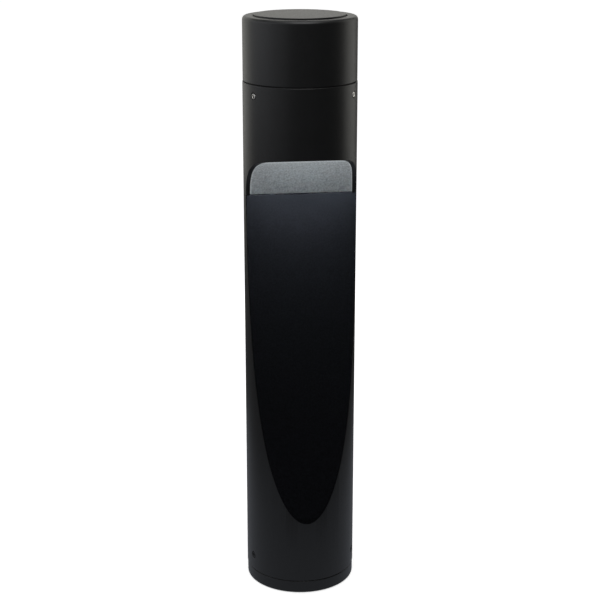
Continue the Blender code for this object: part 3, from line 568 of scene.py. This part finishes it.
def head_cap():
    recess = DISC_RADIUS + DISC_GROOVE
    recess_floor = DISC_BOTTOM - GAP
    skirt_inside = SPIGOT_RADIUS - SPIGOT_WALL
    corners = [
        (0, recess_floor, 0),
        (recess, recess_floor, DISC_GROOVE_FILLET),
        (recess, CAP_TOP, DISC_GROOVE_EDGE),
        (CAP_RADIUS, CAP_TOP, CAP_EDGE_RADIUS),
        (CAP_RADIUS, CAP_BOTTOM, EDGE_CHAMFER),
        (SPIGOT_RADIUS, CAP_BOTTOM, 0),
        (SPIGOT_RADIUS, CAP_SKIRT_Z, CASTING_EDGE),
        (skirt_inside, CAP_SKIRT_Z, CASTING_EDGE),
        (skirt_inside, recess_floor - CAP_WALL, CAP_INNER_FILLET),
        (0, recess_floor - CAP_WALL, 0),
    ]
    cap = lathe("cap_casting", rounded(corners), MATERIALS["black_coat"])
    through = {
        "azimuths": (0, 120, 240),
        "circle": DISC_SCREW_CIRCLE,
        "radius": DISC_SCREW_RADIUS + GAP,
        "bottom": recess_floor - 2 * CAP_WALL,
    }
    disc_holes = post_circle("cap_hole", top=recess_floor + GAP / 2, **through)
    cut(cap, *spigot_holes("cap", CAP_SCREW_Z), *disc_holes)
    finish_piece(cap, "black_coat", "head_cap")

    corners = [
        (0, HEIGHT, 0),
        (DISC_RADIUS, HEIGHT, EDGE_CHAMFER),
        (DISC_RADIUS, DISC_BOTTOM, 0),
        (0, DISC_BOTTOM, 0),
    ]
    disc = lathe("cap_top_disc", rounded(corners), MATERIALS["black_coat"])
    cut(disc, *post_circle("disc_hole", top=DISC_BOTTOM + DISC_THREAD, **through))
    finish_piece(disc, "black_coat", "cap_disc")


def rubber_ring(name, node, inner):
    """A seal with the height and the outer radius of its CAD node."""
    low_corner, high_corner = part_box(node)
    outer, low, high = high_corner.x, low_corner.z, high_corner.z
    corners = [
        (outer, high, RING_EDGE),
        (outer, low, RING_EDGE),
        (inner, low, 0),
        (inner, high, 0),
    ]
    ring = lathe(name, rounded(corners), MATERIALS["rubber"])
    finish_piece(ring, "rubber", node)


def anchor_base():
    spigot_inside = SPIGOT_RADIUS - SPIGOT_WALL
    corners = [
        (SPIGOT_RADIUS, FOOT_SPIGOT_Z, CASTING_EDGE),
        (SPIGOT_RADIUS, FOOT_TOP, 0),
        (FOOT_RADIUS, FOOT_TOP, EDGE_CHAMFER),
        (FOOT_RADIUS, 0, FOOT_EDGE_RADIUS),
        (ENTRY_RADIUS, 0, CASTING_EDGE),
        (ENTRY_RADIUS, FOOT_FLOOR, CASTING_EDGE),
        (spigot_inside, FOOT_FLOOR, FOOT_INNER_FILLET),
        (spigot_inside, FOOT_SPIGOT_Z, CASTING_EDGE),
    ]
    foot = lathe("foot_casting", rounded(corners), MATERIALS["black_coat"])
    anchors = post_circle(
        "anchor_hole", (45, 135, 225, 315), ANCHOR_CIRCLE_RADIUS, ANCHOR_HOLE_RADIUS,
        -FOOT_FLOOR, 2 * FOOT_FLOOR,
    )
    cut(foot, *spigot_holes("base", BASE_SCREW_Z), *anchors)
    finish_piece(foot, "black_coat", "anchor_base")


def socket_screws(prefix, z, slot):
    """Socket screws whose heads stand just inside the tube's surface."""
    head_face = TUBE_RADIUS - COUNTERBORE_DEPTH + GAP + HEAD_HEIGHT
    corners = [
        (0, 0, 0),
        (HEAD_RADIUS, 0, HEAD_EDGE),
        (HEAD_RADIUS, -HEAD_HEIGHT, UNDERHEAD_EDGE),
        (SHANK_RADIUS, -HEAD_HEIGHT, UNDERHEAD_EDGE),
        (SHANK_RADIUS, -SCREW_LENGTH, POINT_EDGE),
        (0, -SCREW_LENGTH, 0),
    ]
    mouth = SOCKET_RADIUS + SOCKET_MOUTH
    socket = [
        (0, SOCKET_RADIUS),
        (mouth, SOCKET_RADIUS),
        (mouth, SOCKET_BEVEL),
        (SOCKET_RADIUS, -SOCKET_BEVEL),
        (SOCKET_RADIUS, -SOCKET_DEPTH),
        (0, -SOCKET_DEPTH - SOCKET_POINT),
    ]
    for side, azimuth in SCREW_AZIMUTHS[prefix].items():
        name = f"{prefix}_socket_screw_{side}"
        screw = lathe(name, rounded(corners), MATERIALS[slot], SCREW_SIDES)
        cut(screw, lathe("hex_socket", socket, sides=6))
        screw.data.transform(around(azimuth, head_face, z))
        finish_piece(screw, slot, f"{prefix}_screw_{side}")


# Studio


def aimed(location, target):
    return (Vector(target) - Vector(location)).to_track_quat("-Z", "Y").to_euler()


def area_light(name, location, rotation, size, radiance, color=(1, 1, 1), only=None):
    """A rectangular light of a given radiance, which the camera doesn't see.

    It lights everything, or only the piece given.
    """
    light = bpy.data.lights.new(name, "AREA")
    light.shape = "RECTANGLE"
    light.size, light.size_y = size
    light.energy = radiance * math.pi * size[0] * size[1]
    light.color = color
    obj = bpy.data.objects.new(name, light)
    obj.location = location
    obj.rotation_euler = rotation
    obj.visible_camera = False
    if only:
        receivers = bpy.data.collections.new(f"{name}_receivers")
        receivers.objects.link(only)
        obj.light_linking.receiver_collection = receivers
    bpy.context.scene.collection.objects.link(obj)


def softbox(name, azimuth, distance, width, bottom, top, radiance, color):
    """An upright panel of light that faces the post."""
    angle = math.radians(azimuth)
    middle = (bottom + top) / 2
    location = (distance * math.sin(angle), -distance * math.cos(angle), middle)
    rotation = aimed(location, (0, 0, middle))
    area_light(name, location, rotation, (width, top - bottom), radiance, color)


def studio(panel):
    """Softboxes round the post, lights above and below it, and two lamps under the hood.

    The stronger of those two lights only the panel.
    """
    for name, settings in SOFTBOXES.items():
        softbox(name, *settings)
    overhead = (0, 0, OVERHEAD_HEIGHT)
    area_light("overhead_light", overhead, (0, 0, 0), OVERHEAD_SIZE, OVERHEAD_RADIANCE)
    tilt = aimed(HIGH_LIGHT_PLACE, HIGH_LIGHT_TARGET)
    area_light("front_high_light", HIGH_LIGHT_PLACE, tilt, HIGH_LIGHT_SIZE, HIGH_LIGHT_RADIANCE)
    up = (math.pi, 0, 0)
    ground = (0, 0, GROUND_HEIGHT)
    area_light("ground_bounce", ground, up, GROUND_SIZE, GROUND_RADIANCE, FLOOR_COLOR)
    lamp_y = LAMP_DEPTH - TUBE_RADIUS
    lamp = (0, lamp_y, ceiling_z(lamp_y) - LAMP_DROP)
    down = (-CEILING_SLOPE, 0, 0)
    area_light("hood_light", lamp, down, HOOD_LIGHT_SIZE, HOOD_LIGHT_RADIANCE, LAMP_COLOR)
    area_light(
        "panel_light", lamp, down, PANEL_LIGHT_SIZE, PANEL_LIGHT_RADIANCE, LAMP_COLOR, panel
    )
    room_light()


def room_light():
    """A dim white room, which the camera sees as pure white."""
    world = bpy.data.worlds.new("studio")
    bpy.context.scene.world = world
    world.use_nodes = True
    tree = world.node_tree
    room = tree.nodes["Background"]
    room.inputs["Color"].default_value = (1, 1, 1, 1)
    room.inputs["Strength"].default_value = ROOM_LIGHT
    backdrop = tree.nodes.new("ShaderNodeBackground")
    backdrop.inputs["Color"].default_value = (1, 1, 1, 1)
    backdrop.inputs["Strength"].default_value = BACKDROP_LIGHT
    path = tree.nodes.new("ShaderNodeLightPath")
    mix = tree.nodes.new("ShaderNodeMixShader")
    tree.links.new(path.outputs["Is Camera Ray"], mix.inputs["Fac"])
    tree.links.new(room.outputs["Background"], mix.inputs[1])
    tree.links.new(backdrop.outputs["Background"], mix.inputs[2])
    tree.links.new(mix.outputs["Shader"], tree.nodes["World Output"].inputs["Surface"])
    bpy.context.scene.view_settings.view_transform = "Standard"


def studio_floor():
    """A pale floor that glows to white away from the post.

    The post doesn't mirror it: ground_bounce stands in for the light that comes off it.
    """
    shape = bmesh.new()
    bmesh.ops.create_grid(shape, x_segments=1, y_segments=1, size=FLOOR_REACH)
    bmesh.ops.translate(shape, verts=shape.verts, vec=(0, 0, -FLOOR_DROP))
    material = surface("pale_floor", (0.75, 0.75, 0.75), 0.8, mottle=0.01, specular=0.1)
    shader = material.node_tree.nodes["Principled BSDF"]
    shader.inputs["Emission Color"].default_value = (1, 1, 1, 1)
    where = add_node(material, "ShaderNodeTexCoord").outputs["Object"]
    distance = add_node(material, "ShaderNodeVectorMath", operation="LENGTH")
    link(material, where, distance.inputs[0])
    glow = ramp_between(material, distance.outputs["Value"], *FLOOR_GLOW)
    link(material, glow, shader.inputs["Emission Strength"])
    floor = new_piece("studio_floor", shape, material)
    floor.visible_glossy = False
    floor.visible_diffuse = False


def camera():
    data = bpy.data.cameras.new("camera")
    data.lens = CAMERA_LENS
    data.sensor_width = CAMERA_SENSOR
    data.clip_start, data.clip_end = CAMERA_CLIP
    obj = bpy.data.objects.new("camera", data)
    away = Vector((math.sin(CAMERA_AZIMUTH), -math.cos(CAMERA_AZIMUTH), 0)) * CAMERA_DISTANCE
    obj.location = away + Vector((0, 0, CAMERA_HEIGHT))
    obj.rotation_euler = (math.pi / 2 - CAMERA_PITCH, 0, CAMERA_AZIMUTH)
    bpy.context.scene.collection.objects.link(obj)
    bpy.context.scene.camera = obj


# Assembly

for subpart in frame["record"]["subparts"]:
    mesh = frame["nodes"][subpart["node"]].data
    mesh.materials.clear()
    mesh.materials.append(MATERIALS[subpart["material_slot"]])

camera()
body_tube()
panel = reflector_panel()
lens()
head_cap()
anchor_base()
rubber_ring("cap_seam_ring", "cap_gasket", SPIGOT_RADIUS + GAP)
rubber_ring("base_seam_ring", "base_gasket", SPIGOT_RADIUS + GAP)
rubber_ring("disc_seal_ring", "cap_disc_seal", DISC_RADIUS + GAP)
socket_screws("cap", CAP_SCREW_Z, "stainless")
socket_screws("base", BASE_SCREW_Z, "black_steel")
studio(panel)
studio_floor()
